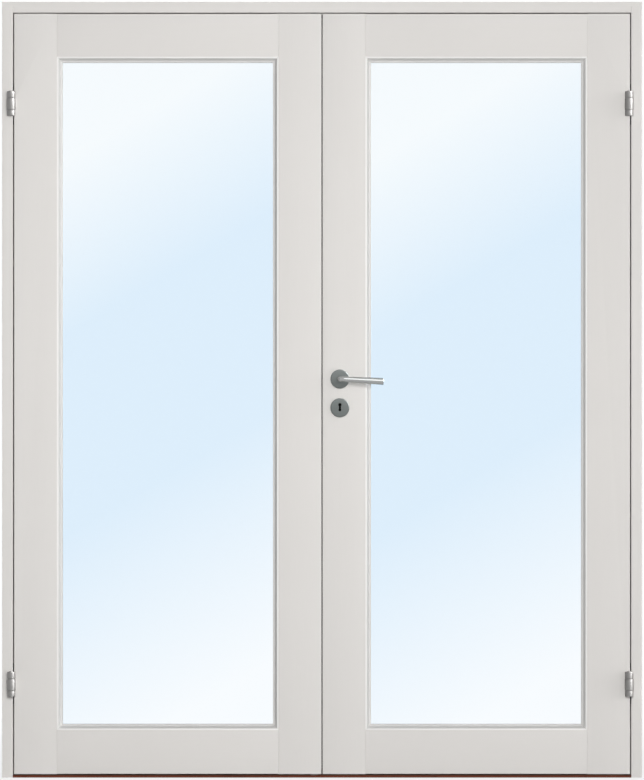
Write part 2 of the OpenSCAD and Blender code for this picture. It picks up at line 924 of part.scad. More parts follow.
// Plate in the meeting edge for the lock or its strike
module forend_plate(fit, room) {
    translate([meeting_x - room, leaf_mid_y, lock_mid_z]) along_x(forend_t + room)
        polygon(pill_outline(forend_w + 2 * fit, forend_h + 2 * fit));
}

// Screws at the two ends of the forend or strike plate
module forend_screws(fit) {
    for (side = [-1, 1])
        translate([meeting_x, leaf_mid_y, lock_mid_z + side * forend_screw_z])
            mirror([1, 0, 0]) screw(screw_len, fit);
}

// Room for a bolt of height h at height z, from x0 to x1
module bolt_room(z, h, x0, x1, fit) {
    box([x0, leaf_mid_y - bolt_t / 2 - fit, z - h / 2 - fit],
        [x1, leaf_mid_y + bolt_t / 2 + fit, z + h / 2 + fit]);
}

module lock_forend() {
    color(steel) difference() {
        forend_plate(0, 0);
        bolt_room(lever_z, latch_h, meeting_x - cut, forend_x + cut, slide_fit);
        bolt_room(key_z, dead_h, meeting_x - cut, forend_x + cut, slide_fit);
        forend_screws(hold_fit);
    }
}

// Plate half way through the lock case, behind the dead bolt, that the key lifts from either side
module tumbler() {
    box([bolt_x + bolt_len + enter_fit, leaf_mid_y - tumbler_t / 2, key_foot_z - tumbler_over],
        [forend_x + case_d - case_wall / 2, leaf_mid_y + tumbler_t / 2, key_top_z + tumbler_over]);
}

module lock_case() {
    color(steel) {
        difference() {
            box([forend_x, leaf_mid_y - case_t / 2, case_foot_z],
                [forend_x + case_d, leaf_mid_y + case_t / 2, case_top_z]);
            box([forend_x - cut, leaf_mid_y - case_t / 2 + case_wall, case_foot_z + case_wall],
                [forend_x + case_d - case_wall, leaf_mid_y + case_t / 2 - case_wall, case_top_z - case_wall]);
            translate([lever_x, leaf_mid_y - case_t / 2 - cut, lever_z])
                rotate([-90, 0, 0]) cylinder(r = follower_r + run_fit, h = case_t + 2 * cut);
            keyhole(leaf_mid_y - case_t / 2 - cut, case_t + 2 * cut, 0);
        }
        tumbler();
    }
}

module strike_pockets(depth) {
    bolt_room(lever_z, latch_h, meeting_x - cut, meeting_x + depth, enter_fit);
    bolt_room(key_z, dead_h, meeting_x - cut, meeting_x + depth, enter_fit);
}

module strike_plate() {
    color(steel) on_left() difference() {
        forend_plate(0, 0);
        strike_pockets(forend_t + cut);
        forend_screws(hold_fit);
    }
}

module latch_bolt() {
    color(steel) translate([bolt_x, leaf_mid_y - bolt_t / 2, lever_z - latch_h / 2])
        linear_extrude(latch_h) polygon(bar_outline(bolt_len, bolt_t, latch_chamfer, joint_v));
}

module dead_bolt() {
    color(steel) translate([bolt_x, leaf_mid_y - bolt_t / 2, key_z - dead_h / 2])
        linear_extrude(dead_h) polygon(bar_outline(bolt_len, bolt_t, joint_v, joint_v));
}

// Keyhole along y from y0
module keyhole(y0, len, fit) {
    translate([lever_x, y0, key_z + key_rise]) rotate([-90, 0, 0]) {
        cylinder(r = key_r + fit, h = len);
        translate([-key_slot_w / 2 - fit, 0, 0]) cube([key_slot_w + 2 * fit, key_slot_h, len]);
        translate([0, key_slot_h, 0]) cylinder(r = key_foot_r + fit, h = len);
    }
}

module spindle_bar(w, y0, y1) {
    box([lever_x - w / 2, y0, lever_z - w / 2], [lever_x + w / 2, y1, lever_z + w / 2]);
}

spindle_y0 = front_y - rose_t - spindle_grip;
spindle_y1 = leaf_rear_y + rose_t + spindle_grip;

module lever_spindle() {
    color(steel) spindle_bar(spindle_w, spindle_y0, spindle_y1);
}

module lock_follower() {
    color(steel) difference() {
        translate([lever_x, leaf_mid_y - case_t / 2, lever_z])
            rotate([-90, 0, 0]) cylinder(r = follower_r, h = case_t);
        spindle_bar(spindle_w, spindle_y0, spindle_y1);
    }
}

// Handle

// Disc on the front of the leaf with a rounded rim
module rose_disc(z) {
    translate([lever_x, front_y, z]) rotate([90, 0, 0]) rotate_extrude() polygon(concat(
        [[0, 0], [rose_r, 0]],
        arc(rose_r - rose_round, rose_t - rose_round, rose_round, 0, 90),
        [[0, rose_t]]
    ));
}

// Mirrors its children from the front of the leaf to its rear
module on_rear() {
    translate([0, 2 * leaf_mid_y, 0]) mirror([0, 1, 0]) children();
}

module front_rose() {
    color(satin) difference() {
        rose_disc(lever_z);
        translate([lever_x, front_y + cut, lever_z])
            rotate([90, 0, 0]) cylinder(r = neck_r + run_fit, h = rose_t + 2 * cut);
    }
}

module rear_rose() {
    on_rear() front_rose();
}

module front_escutcheon() {
    color(satin) difference() {
        rose_disc(key_z);
        keyhole(front_y - rose_t - cut, rose_t + 2 * cut, 0);
    }
}

module rear_escutcheon() {
    on_rear() front_escutcheon();
}

// Lever with its axis on y through the origin and the face of the leaf at y = 0
module lever_bar() {
    straight = lever_reach - bend_r;
    groove_x = lever_len - tip_cap - tip_groove_w;
    translate([0, neck_in, 0]) rotate([90, 0, 0]) cylinder(r = neck_r, h = straight + neck_in);
    translate([bend_r, -straight, 0]) rotate(180)
        rotate_extrude(angle = 90) translate([bend_r, 0]) circle(neck_r);
    translate([bend_r, -lever_reach, 0]) rotate([0, 90, 0]) rotate_extrude() polygon([
        [0, 0], [neck_r, 0], [tip_r, groove_x - bend_r], [tip_r - tip_groove_d, groove_x - bend_r],
        [tip_r - tip_groove_d, groove_x + tip_groove_w - bend_r], [tip_r, groove_x + tip_groove_w - bend_r],
        [tip_r, lever_len - bend_r], [0, lever_len - bend_r]
    ]);
}

module front_lever() {
    color(satin) difference() {
        translate([lever_x, front_y, lever_z]) rotate([0, droop, 0]) lever_bar();
        spindle_bar(spindle_w, spindle_y0, front_y + neck_in + cut);
    }
}

module rear_lever() {
    on_rear() front_lever();
}

// Flush bolts of the left leaf, drawn on the right: the end of the leaf is at z = 0 and the leaf below it

module at_upper_bolt() {
    translate([0, leaf_mid_y, leaf_top_z]) children();
}

module at_lower_bolt() {
    translate([0, leaf_mid_y, leaf_foot_z]) mirror([0, 0, 1]) children();
}

module bolt_plate(fit, room) {
    translate([meeting_x - room, 0, -bolt_plate_mid]) along_x(bolt_plate_t + room)
        polygon(pill_outline(bolt_plate_w + 2 * fit, bolt_plate_h + 2 * fit));
}

module bolt_case_box(fit) {
    translate([bolt_case_x, 0, -bolt_plate_mid])
        box([0, -bolt_case_w / 2 - fit, -bolt_case_h / 2 - fit],
            [bolt_case_d + fit, bolt_case_w / 2 + fit, bolt_case_h / 2 + fit]);
}

module bolt_screws(fit) {
    for (side = [-1, 1])
        translate([meeting_x, 0, side * bolt_screw_z - bolt_plate_mid])
            mirror([1, 0, 0]) screw(bolt_screw_len, fit);
}

module rod_bore() {
    translate([rod_x, 0, -bolt_plate_mid]) cylinder(r = rod_bore_r, h = bolt_plate_mid + cut);
}

module flush_bolt_room() {
    bolt_plate(wood_fit, cut);
    bolt_case_box(wood_fit);
    bolt_screws(hold_fit);
    rod_bore();
}

module flush_bolt_case(travel) {
    inner_w = bolt_case_w - 2 * bolt_case_wall;
    inner_h = bolt_case_h - 2 * bolt_case_wall;
    slot_h = thumb_h + travel + 2 * slide_fit;
    color(steel) difference() {
        union() {
            bolt_plate(0, 0);
            bolt_case_box(0);
        }
        translate([bolt_case_x, 0, -bolt_plate_mid]) {
            box([0, -inner_w / 2, -inner_h / 2], [bolt_case_d - bolt_case_wall, inner_w / 2, inner_h / 2]);
            box([-bolt_plate_t - cut, -thumb_w / 2 - slide_fit, -slot_h / 2],
                [cut, thumb_w / 2 + slide_fit, slot_h / 2]);
        }
        bolt_screws(hold_fit);
        rod_bore();
    }
}

module flush_bolt(travel) {
    slider_mid = -bolt_plate_mid - travel / 2;
    slider_x = bolt_case_x + slide_fit;
    color(steel) translate([0, 0, slider_mid]) {
        translate([rod_x, 0, 0]) cylinder(r = rod_r, h = -slider_mid - bolt_rest);
        box([slider_x, -slider_w / 2, -slider_h / 2], [slider_x + slider_t, slider_w / 2, slider_h / 2]);
        box([thumb_x, -thumb_w / 2, -thumb_h / 2], [slider_x + cut, thumb_w / 2, thumb_h / 2]);
    }
}

module upper_flush_bolt() {
    on_left() at_upper_bolt() flush_bolt(upper_travel);
}

module lower_flush_bolt() {
    on_left() at_lower_bolt() flush_bolt(lower_travel);
}

module upper_flush_bolt_case() {
    on_left() at_upper_bolt() flush_bolt_case(upper_travel);
}

module lower_flush_bolt_case() {
    on_left() at_lower_bolt() flush_bolt_case(lower_travel);
}

// Flanged sleeve let into the frame, with its flange on z = 0 and its sleeve upwards
module keeper_body(len, bore_r, fit) {
    rotate_extrude() polygon([
        [bore_r, 0], [keeper_flange_r + fit, 0], [keeper_flange_r + fit, keeper_flange_t],
        [keeper_r + fit, keeper_flange_t], [keeper_r + fit, len], [bore_r, len]
    ]);
}

module at_head_keeper() {
    translate([-rod_x, leaf_mid_y, head_under_z]) children();
}

module at_threshold_keeper() {
    translate([-rod_x, leaf_mid_y, threshold_h]) mirror([0, 0, 1]) children();
}

module head_bolt_keeper() {
    color(steel) at_head_keeper() keeper_body(head_keeper_len, keeper_bore_r, 0);
}

module threshold_bolt_keeper() {
    color(steel) at_threshold_keeper() keeper_body(threshold_h, keeper_bore_r, 0);
}

// Plate screws of each leaf

module right_screws() {
    color(steel) {
        at_hinges() leaf_plate_screws(0);
        forend_screws(0);
    }
}

module left_screws() {
    color(steel) on_left() {
        at_hinges() leaf_plate_screws(0);
        forend_screws(0);
        at_upper_bolt() bolt_screws(0);
        at_lower_bolt() bolt_screws(0);
    }
}

frame_head();
left_jamb();
right_jamb();
threshold();
head_seal();
left_jamb_seal();
right_jamb_seal();
threshold_seal();
frame_screws();
head_bolt_keeper();
threshold_bolt_keeper();
left_upper_frame_hinge();
left_lower_frame_hinge();
right_upper_frame_hinge();
right_lower_frame_hinge();
left_hinge_pins();
right_hinge_pins();
left_hinge_stile();
left_meeting_stile();
left_top_rail();
left_bottom_rail();
left_dowels();
left_glass();
left_glazing_rubber();
left_front_beads();
left_rear_beads();
left_meeting_seal();
left_upper_leaf_hinge();
left_lower_leaf_hinge();
left_screws();
strike_plate();
upper_flush_bolt_case();
lower_flush_bolt_case();
upper_flush_bolt();
lower_flush_bolt();
right_hinge_stile();
right_meeting_stile();
right_top_rail();
right_bottom_rail();
right_dowels();
right_glass();
right_glazing_rubber();
right_front_beads();
right_rear_beads();
right_meeting_seal();
right_upper_leaf_hinge();
right_lower_leaf_hinge();
right_screws();
lock_case();
lock_forend();
lock_follower();
latch_bolt();
dead_bolt();
front_rose();
rear_rose();
front_escutcheon();
rear_escutcheon();
front_lever();
rear_lever();
lever_spindle();
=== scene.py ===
# %% [markdown]
# # French doors in their frame
#
# A pair of white glazed doors hangs in a painted timber frame over a reddish-brown threshold. The
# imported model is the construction: every timber, pane and plate already has its place and its body.
# This lesson gives those solids their surfaces, softens what paint and polish soften, and models
# the small hardware that the eye goes to. Everything is in metres, with the front facing -Y.

# %% Load the frame
import json
import math

import bpy
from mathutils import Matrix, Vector

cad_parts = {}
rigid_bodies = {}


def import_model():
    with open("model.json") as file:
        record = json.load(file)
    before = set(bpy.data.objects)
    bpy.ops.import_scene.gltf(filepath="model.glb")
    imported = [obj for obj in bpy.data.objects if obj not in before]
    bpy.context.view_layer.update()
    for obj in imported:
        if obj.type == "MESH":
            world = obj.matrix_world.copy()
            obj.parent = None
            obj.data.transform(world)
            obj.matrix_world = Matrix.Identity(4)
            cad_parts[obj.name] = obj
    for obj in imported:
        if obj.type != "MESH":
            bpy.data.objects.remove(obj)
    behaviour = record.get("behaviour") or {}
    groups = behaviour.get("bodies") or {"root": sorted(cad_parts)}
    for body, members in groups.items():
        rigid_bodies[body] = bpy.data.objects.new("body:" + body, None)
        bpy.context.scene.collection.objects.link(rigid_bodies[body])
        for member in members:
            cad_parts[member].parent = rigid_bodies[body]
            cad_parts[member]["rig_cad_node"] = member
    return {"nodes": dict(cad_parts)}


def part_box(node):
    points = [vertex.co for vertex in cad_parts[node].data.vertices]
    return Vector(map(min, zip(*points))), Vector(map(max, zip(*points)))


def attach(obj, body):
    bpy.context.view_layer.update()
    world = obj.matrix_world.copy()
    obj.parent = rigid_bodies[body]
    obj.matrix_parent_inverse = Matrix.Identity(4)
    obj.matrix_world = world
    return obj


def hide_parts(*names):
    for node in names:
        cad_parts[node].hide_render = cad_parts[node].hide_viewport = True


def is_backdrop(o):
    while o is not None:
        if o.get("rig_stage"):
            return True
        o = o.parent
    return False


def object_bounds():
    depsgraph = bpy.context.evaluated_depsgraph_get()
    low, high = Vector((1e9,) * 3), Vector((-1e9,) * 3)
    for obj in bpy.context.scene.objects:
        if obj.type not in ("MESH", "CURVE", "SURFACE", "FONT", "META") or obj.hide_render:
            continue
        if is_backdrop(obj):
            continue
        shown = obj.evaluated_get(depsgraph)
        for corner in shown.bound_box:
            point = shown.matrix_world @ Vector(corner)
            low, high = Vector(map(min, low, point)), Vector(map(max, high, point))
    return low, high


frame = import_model()
nodes = frame["nodes"]
cad_low, cad_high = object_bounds()
MM = 0.001
print("frame loaded:", len(nodes), "nodes,", [round(v, 4) for v in cad_high - cad_low], "m")

# %% [markdown]
# ## Writing surfaces as sums
#
# A finish is a network of small nodes. Drawn by hand it is a tangle, and written link by link it is
# a long list. So one class wraps a socket and lets Python's own signs add the Math nodes. Every
# other node comes from its one method, which takes the kind of node, its settings and what goes
# into its sockets. Patterns read Object coordinates, so they stay on the wood when a leaf swings.


# %% Sockets as values
class Wire:
    """One output socket. A sum on it adds a Math node to the same tree."""

    def __init__(self, socket):
        self.socket = socket

    def node(self, kind, settings=None, values=None, output=0):
        """Adds a node with its settings, then its values or links, and returns one output."""
        tree = self.socket.id_data
        made = tree.nodes.new("ShaderNode" + kind)
        for name, value in (settings or {}).items():
            if name == "stops":
                ramp = made.color_ramp
                while len(ramp.elements) < len(value):
                    ramp.elements.new(1)
                for stop, (place, colour) in zip(ramp.elements, value):
                    stop.position, stop.color = place, (*colour, 1)
            else:
                setattr(made, name, value)
        for name, value in (values or {}).items():
            if isinstance(value, Wire):
                tree.links.new(value.socket, made.inputs[name])
            else:
                made.inputs[name].default_value = value
        return Wire(made.outputs[output])

    def beside(self, output):
        """Another output of the node that this one belongs to."""
        return Wire(self.socket.node.outputs[output])

    def maths(self, operation, first, second=0.0):
        return self.node("Math", {"operation": operation}, {0: first, 1: second})

    def __add__(self, other):
        return self.maths("ADD", self, other)

    def __sub__(self, other):
        return self.maths("SUBTRACT", self, other)

    def __rsub__(self, other):
        return self.maths("SUBTRACT", other, self)

    def __mul__(self, other):
        return self.maths("MULTIPLY", self, other)

    def __mod__(self, other):
        return self.maths("FLOORED_MODULO", self, other)

    __radd__ = __add__
    __rmul__ = __mul__

    def stretched(self, scale):
        return self.node("Mapping", None, {"Vector": self, "Scale": scale})

    def noise(self, scale, detail=3.0, roughness=0.5):
        sockets = {"Vector": self, "Scale": scale, "Detail": detail, "Roughness": roughness}
        return self.node("TexNoise", {"normalize": True}, sockets)

    def ramp(self, *stops):
        return self.node("ValToRGB", {"stops": stops}, {"Fac": self})

    def between(self, first, second, blend="MIX"):
        """A colour from first to second as this value goes from 0 to 1."""
        ends = [end if isinstance(end, Wire) else (*end, 1) for end in (first, second)]
        settings = {"data_type": "RGBA", "blend_type": blend, "clamp_factor": True}
        return self.node("Mix", settings, {0: self, 6: ends[0], 7: ends[1]}, output=2)

    def steps(self, low, high):
        """0 below low, 1 above high, and smooth between."""
        settings = {"interpolation_type": "SMOOTHSTEP"}
        return self.node("MapRange", settings, {"Value": self, "From Min": low, "From Max": high})

    def bump(self, strength, distance):
        sockets = {"Height": self, "Strength": strength, "Distance": distance}
        return self.node("Bump", None, sockets)


# %% [markdown]
# Each finish starts from a Principled node. What is the same all over the surface is set on its own
# sockets, and what varies is linked to them afterwards. Glass and floor need more than one shader,
# so their mix is linked to the material's output instead.


# %% Start, feed and cover a finish
def new_finish(name, **constants):
    """A material, its Principled node with the plain values set, and its Object coordinates."""
    material = bpy.data.materials.new(name)
    material.use_nodes = True
    shader = material.node_tree.nodes["Principled BSDF"]
    for socket, value in constants.items():
        shader.inputs[socket.replace("_", " ")].default_value = value
    coordinates = material.node_tree.nodes.new("ShaderNodeTexCoord")
    return material, shader, Wire(coordinates.outputs["Object"])


def feed(shader, **wires):
    """Links what varies to the sockets of a shader."""
    for socket, wire in wires.items():
        shader.id_data.links.new(wire.socket, shader.inputs[socket.replace("_", " ")])


def cover(material, wire):
    """Makes a mix of shaders the surface of a material."""
    tree = material.node_tree
    tree.links.new(wire.socket, tree.nodes["Material Output"].inputs["Surface"])


# %% [markdown]
# ## White paint
#
# The timber is sprayed and then rubbed down, so it is even, but never a single flat colour. Up close
# there is a fine orange peel and, under it, the drag of the brush along each timber. A picture of
# paint would repeat, so noise makes both. Uprights and rails get the same paint with the drag
# turned: along Z on stiles and jambs, along X on rails and the head. The beads' slopes and coves are
# greyer, which is painted shade for their recessed reveals. Their narrow lands are whiter, which is
# whiter paint and a painted highlight together. A point's depth in the leaf tells the two apart.

# %% Paint
PAINT_LIGHT = (0.765, 0.742, 0.718)
PAINT_DEEP = (0.715, 0.694, 0.668)
# The two bead colours are greyer than the timber's: painted shade for the beads' recessed slopes and
# coves.
BEAD_PAINTED_SHADE_LIGHT = (0.690, 0.681, 0.668)
BEAD_PAINTED_SHADE_DEEP = (0.645, 0.636, 0.624)
# The land colour is whiter paint, and also a painted highlight on the narrow land.
LAND_WHITE_AND_PAINTED_HIGHLIGHT = (0.885, 0.872, 0.855)
CLOUD_SCALE = 2.2
PEEL_SCALE = 620.0
DRAG_ALONG = 9.0
DRAG_ACROSS = 420.0
BEAD_DRAG = 160.0
LAND_DEPTH = 0.6 * MM
LAND_FADE = 1.4 * MM
leaf_low, leaf_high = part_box("left_top_rail")


def painted_highlight_on_land(at):
    """1 at the leaf's two faces, on the beads' lands that get the painted highlight, and 0 below."""
    depth = at.node("SeparateXYZ", None, {"Vector": at}, output="Y")
    from_middle = at.maths("ABSOLUTE", depth - (leaf_low.y + leaf_high.y) / 2)
    half_leaf = (leaf_high.y - leaf_low.y) / 2
    return from_middle.steps(half_leaf - LAND_FADE, half_leaf - LAND_DEPTH)


def paint(name, drag, deep=PAINT_DEEP, light=PAINT_LIGHT, land=None):
    material, shader, at = new_finish(name, Specular_IOR_Level=0.3)
    cloud = at.noise(CLOUD_SCALE, detail=2.0)
    peel = at.noise(PEEL_SCALE, detail=2.0)
    brush = at.stretched(drag).noise(1.0, detail=4.0, roughness=0.6)
    colour = (0.6 * cloud + 0.4 * brush).between(deep, light)
    feed(
        shader,
        Base_Color=painted_highlight_on_land(at).between(colour, land) if land else colour,
        Roughness=0.38 + 0.10 * cloud + 0.08 * brush,
        Normal=(0.45 * peel + 0.55 * brush).bump(strength=0.12, distance=0.25 * MM),
    )
    return material


paint_upright = paint("white_paint_upright", (DRAG_ACROSS, DRAG_ACROSS, DRAG_ALONG))
paint_level = paint("white_paint_level", (DRAG_ALONG, DRAG_ACROSS, DRAG_ACROSS))
# Bead paint: greyer as painted shade on slope and cove, with a whiter land that is also a painted
# highlight.
paint_bead_with_painted_shade = paint("white_paint_bead_painted_shade_and_highlight", (BEAD_DRAG,) * 3, BEAD_PAINTED_SHADE_DEEP, BEAD_PAINTED_SHADE_LIGHT, LAND_WHITE_AND_PAINTED_HIGHLIGHT)
print("paint mixed for uprights, rails and beads")

# %% [markdown]
# ## Oiled hardwood and beech
#
# The threshold is a dense red-brown timber. Its figure is long and narrow: broad bands of colour
# drawn out along X, and short dark pores between them. A wave pattern would look too regular, so
# bands, fibres and pores are noise stretched by different amounts. The dowels inside the corner
# joints are plain beech, made by the same recipe with paler colours.

# %% Wood
BANDS = (1.6, 34.0, 34.0)
FIBRES = (9.0, 520.0, 520.0)
PORES = (42.0, 900.0, 900.0)
PORE_SHADE = (0.25, 0.20, 0.18)


def wood(name, dark, middle, light, pore_depth, roughness):
    material, shader, at = new_finish(name, Specular_IOR_Level=0.12)
    bands = at.stretched(BANDS).noise(1.0, detail=5.0, roughness=0.62)
    fibres = at.stretched(FIBRES).noise(1.0, detail=3.0, roughness=0.55)
    pores = at.stretched(PORES).noise(1.0, detail=1.0).steps(0.60, 0.70)
    figure = 0.72 * bands + 0.28 * fibres
    colour = figure.ramp((0.30, dark), (0.50, middle), (0.70, light))
    feed(
        shader,
        Base_Color=(pore_depth * pores).between(colour, PORE_SHADE, "MULTIPLY"),
        Roughness=roughness + 0.16 * fibres + 0.15 * pores,
        Normal=(0.5 * fibres - 0.8 * pores).bump(strength=0.25, distance=0.2 * MM),
    )
    return material


hardwood = wood(
    "oiled_hardwood",
    dark=(0.075, 0.019, 0.010),
    middle=(0.132, 0.034, 0.017),
    light=(0.185, 0.055, 0.028),
    pore_depth=0.7,
    roughness=0.46,
)
beech = wood(
    "beech",
    dark=(0.42, 0.25, 0.13),
    middle=(0.55, 0.35, 0.19),
    light=(0.64, 0.44, 0.27),
    pore_depth=0.3,
    roughness=0.55,
)
print("wood laid out for the threshold and the dowels")

# %% [markdown]
# ## Metals
#
# Satin steel is brushed one way, so its scratches are long and thin, and the light runs out along
# them. The zinc on screws, plates and the lock is not brushed: it has a faint patchy bloom instead.
# The shader's own anisotropy would need a direction for every face, so one recipe makes both from
# noise, with the scratches stretched along the way the piece was rubbed.

# %% Metal
BARREL_RUB = (700.0, 700.0, 30.0)
DISC_RUB = (26.0, 700.0, 700.0)
LEVER_RUB = (22.0, 800.0, 800.0)
UNBRUSHED = (300.0, 300.0, 300.0)
PATCH_SCALE = 55.0


def metal(name, colour, worn, rub, roughness, bloom=0.0):
    material, shader, at = new_finish(name, Metallic=1.0)
    scratches = at.stretched(rub).noise(1.0, detail=3.0, roughness=0.65)
    patches = at.noise(PATCH_SCALE, detail=3.0, roughness=0.6)
    change = (1.0 - bloom) * scratches + bloom * patches
    feed(
        shader,
        Base_Color=change.between(worn, colour),
        Roughness=roughness + 0.12 * scratches + 0.14 * bloom * patches,
        Normal=scratches.bump(strength=0.06, distance=0.05 * MM),
    )
    return material


hinge_steel = metal(
    "hinge_steel", (0.25, 0.245, 0.24), (0.18, 0.176, 0.172), BARREL_RUB, 0.38
)
zinc_steel = metal(
    "zinc_steel", (0.56, 0.57, 0.56), (0.40, 0.41, 0.41), UNBRUSHED, 0.30, bloom=0.6
)
rose_steel = metal(
    "satin_steel", (0.160, 0.174, 0.170), (0.112, 0.122, 0.119), DISC_RUB, 0.34
)
lever_steel = metal(
    "lever_steel", (0.42, 0.43, 0.425), (0.31, 0.318, 0.315), LEVER_RUB, 0.10
)
black_iron = metal(
    "black_iron", (0.030, 0.031, 0.031), (0.014, 0.014, 0.014), UNBRUSHED, 0.55, bloom=0.6
)
print("metals brushed")

# %% [markdown]
# ## Rubber
#
# The seals and glazing strips are black rubber, dull and a little dusty. A flat black would swallow
# its form, so the dust lifts colour and roughness together, over a very fine grain.

# %% Rubber
RUBBER_BLACK = (0.012, 0.012, 0.012)
RUBBER_DUSTY = (0.028, 0.028, 0.027)
DUST_SCALE = 180.0
GRAIN_SCALE = 1500.0
rubber, shader, at = new_finish("black_rubber", Specular_IOR_Level=0.35)
dust = at.noise(DUST_SCALE, detail=4.0, roughness=0.6)
feed(
    shader,
    Base_Color=dust.between(RUBBER_BLACK, RUBBER_DUSTY),
    Roughness=0.55 + 0.25 * dust,
    Normal=at.noise(GRAIN_SCALE, detail=2.0).bump(strength=0.15, distance=0.1 * MM),
)
print("rubber dusted")

# %% [markdown]
# ## Glass
#
# The panes are clear glass. The cool, slanting wash over them, paler at the top left and the bottom
# right, is a painted reflection of the sky, put into the pane's colour. A backdrop could carry the
# wash, but it would stay behind when a leaf swings, so it tints the pane. Solid glass would also
# throw a dark shadow. So for shadow rays the pane is a clear film, and for light that bounces off
# the paint it is a dim one, which keeps the light behind the doors out of the reveals.

# %% Glass
PANE_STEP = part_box("right_glass")[0].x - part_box("left_glass")[0].x
PANE_EDGE = -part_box("left_glass")[0].x
# The wash below is a painted sky reflection, laid into the pane's colour by place.
REFLECTION_TOP = 2.086
REFLECTION_LENGTH = 2.4
REFLECTION_SLANT = 0.6
PAINTED_SKY_REFLECTION = (
    (0.184, (0.915, 0.962, 0.990)),
    (0.380, (0.715, 0.851, 0.971)),
    (0.604, (0.715, 0.851, 0.971)),
    (0.883, (0.934, 0.971, 1.0)),
)
CLEAR_FILM = (0.9, 0.95, 0.99, 1)
DIM_FILM = (0.35, 0.35, 0.35, 1)
glass, shader, at = new_finish("clear_glass", IOR=1.45, Roughness=0.0, Transmission_Weight=1.0)
along_x = at.node("SeparateXYZ", None, {"Vector": at}, output="X")
across = (along_x + PANE_EDGE) % PANE_STEP
down = REFLECTION_TOP - along_x.beside("Z")
# Painted reflection: the slanting wash feeds the pane's Base Color.
feed(shader, Base_Color=((down + REFLECTION_SLANT * across) * (1 / REFLECTION_LENGTH)).ramp(*PAINTED_SKY_REFLECTION))
shadow_ray = at.node("LightPath", output="Is Shadow Ray")
bounced_ray = shadow_ray.beside("Is Diffuse Ray")
clear_film = at.node("BsdfTransparent", None, {"Color": CLEAR_FILM})
dim_film = at.node("BsdfTransparent", None, {"Color": DIM_FILM})
pane = Wire(shader.outputs["BSDF"])
seen_pane = at.node("MixShader", None, {0: bounced_ray, 1: pane, 2: dim_film})
cover(glass, at.node("MixShader", None, {0: shadow_ray, 1: seen_pane, 2: clear_film}))
print("glass washed over", round(PANE_STEP, 4), "m from pane to pane")

# %% [markdown]
# ## Working by hand
#
# An operator works on whatever is selected, and loading leaves the whole frame selected. So every
# piece starts with nothing selected. Four helpers do what every piece needs: they clear the bench,
# take one piece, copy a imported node, and give a finished piece its surface and the body that carries
# it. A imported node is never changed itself: its copy is, and then stands for it.


# %% Clear the bench and take a piece
def clear_bench():
    """Leaves edit mode and deselects everything."""
    if bpy.context.mode != "OBJECT":
        bpy.ops.object.mode_set(mode="OBJECT")
    bpy.ops.object.select_all(action="DESELECT")


def take(piece):
    """Makes one piece the only selected and the active one."""
    clear_bench()
    piece.select_set(True)
    bpy.context.view_layer.objects.active = piece


# %% Copy a node and hand over a piece
MERGE = 0.002 * MM
FLAT_TURN = math.radians(0.5)
SMOOTH_TURN = math.radians(35)


def copy_of(node):
    """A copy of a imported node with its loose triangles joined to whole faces."""
    take(nodes[node])
    bpy.ops.object.duplicate()
    piece = bpy.context.view_layer.objects.active
    piece.parent = None
    del piece["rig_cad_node"]
    piece.data.materials.clear()
    bpy.ops.mesh.customdata_custom_splitnormals_clear()
    bpy.ops.object.mode_set(mode="EDIT")
    bpy.ops.mesh.select_all(action="SELECT")
    bpy.ops.mesh.remove_doubles(threshold=MERGE)
    bpy.ops.mesh.dissolve_limited(angle_limit=FLAT_TURN)
    bpy.ops.object.mode_set(mode="OBJECT")
    return piece


def finished(piece, name, finish, body, slot, *replaced):
    """Puts a piece's place in its mesh, smooths it, and hands it to its body."""
    take(piece)
    bpy.ops.object.transform_apply(location=True, rotation=True, scale=True)
    bpy.ops.object.shade_smooth_by_angle(angle=SMOOTH_TURN)
    piece.name = piece.data.name = name
    piece.data.materials.clear()
    piece.data.materials.append(finish)
    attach(piece, body)
    if replaced:
        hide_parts(*replaced)


# %% [markdown]
# ## Timber with soft arrises
#
# A joiner takes the sharp corner off every timber, and paint rounds it further, so a thin line of
# light runs along each edge. The timbers could be modelled anew from boxes, but a copy of the packed
# one keeps every rebate and mortice. It has its chamfers already. Every long chamfer edge gets a
# weight from the width of its chamfer, and a Bevel modifier turns the two edges into one round.

# %% Weigh the chamfers
CHAMFER_TURN = (math.radians(15), math.radians(75))
LEAST_EDGE = 12 * MM
ROUND = 0.9 * MM
CHAMFER_SHARE = 0.42


def weigh_chamfers(piece):
    """Gives each long chamfer edge a bevel weight, and counts them."""
    mesh = piece.data
    faces_at = {}
    for face in mesh.polygons:
        for key in face.edge_keys:
            faces_at.setdefault(key, []).append(face)
    weights = mesh.attributes.new("bevel_weight_edge", "FLOAT", "EDGE")
    count = 0
    for edge in mesh.edges:
        beside = faces_at[edge.key]
        ends = [mesh.vertices[i].co for i in edge.vertices]
        length = (ends[0] - ends[1]).length
        if len(beside) != 2 or length < LEAST_EDGE:
            continue
        if CHAMFER_TURN[0] < beside[0].normal.angle(beside[1].normal) < CHAMFER_TURN[1]:
            width = min(face.area for face in beside) / length
            weights.data[edge.index].value = min(1.0, CHAMFER_SHARE * width / ROUND)
            count += 1
    return count


# %% Soften the timbers
def soften(node, finish, body, slot="white_paint"):
    """Replaces a packed timber with a copy whose chamfers are rounded."""
    piece = copy_of(node)
    count = weigh_chamfers(piece)
    take(piece)
    bevel = piece.modifiers.new("soft_arris", "BEVEL")
    bevel.limit_method = "WEIGHT"
    bevel.width = ROUND
    bevel.segments = 3
    bpy.ops.object.modifier_apply(modifier=bevel.name)
    finished(piece, "soft_" + node, finish, body, slot, node)
    print(node, "has", count, "soft edges and", len(piece.data.polygons), "faces")


